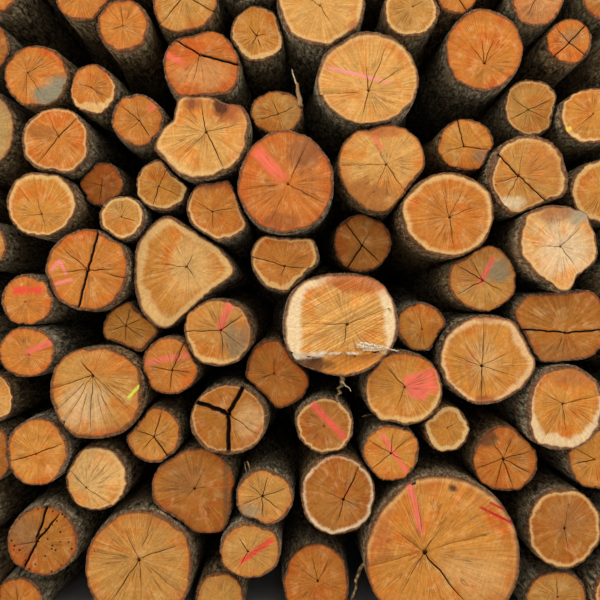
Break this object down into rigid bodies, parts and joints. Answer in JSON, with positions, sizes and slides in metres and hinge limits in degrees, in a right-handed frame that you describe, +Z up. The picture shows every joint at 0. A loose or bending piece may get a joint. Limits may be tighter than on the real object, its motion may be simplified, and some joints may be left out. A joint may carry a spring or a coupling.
{
  "type": "stack of logs",
  "caption": "Stack of freshly cut round logs lying one on another, sawn orange ends to the front, bark on, with splits and spray paint strokes.",
  "frame": {"origin": "under the middle of the stack, on the floor", "axes": "+Z up, the near sawn ends face -Y, the logs lie along Y"},
  "size_m": [2.4976, 2.23, 2.0495],
  "materials": {
    "wood": "matte"
  },
  "bodies": {
    "root": {"bottom_course": "wood", "second_course": "wood", "third_course": "wood", "fourth_course": "wood", "fifth_course": "wood", "sixth_course": "wood", "seventh_course": "wood", "eighth_course": "wood", "ninth_course": "wood", "tenth_course": "wood", "eleventh_course": "wood", "top_course": "wood", "crown_course": "wood"}
  },
  "joints": []
}
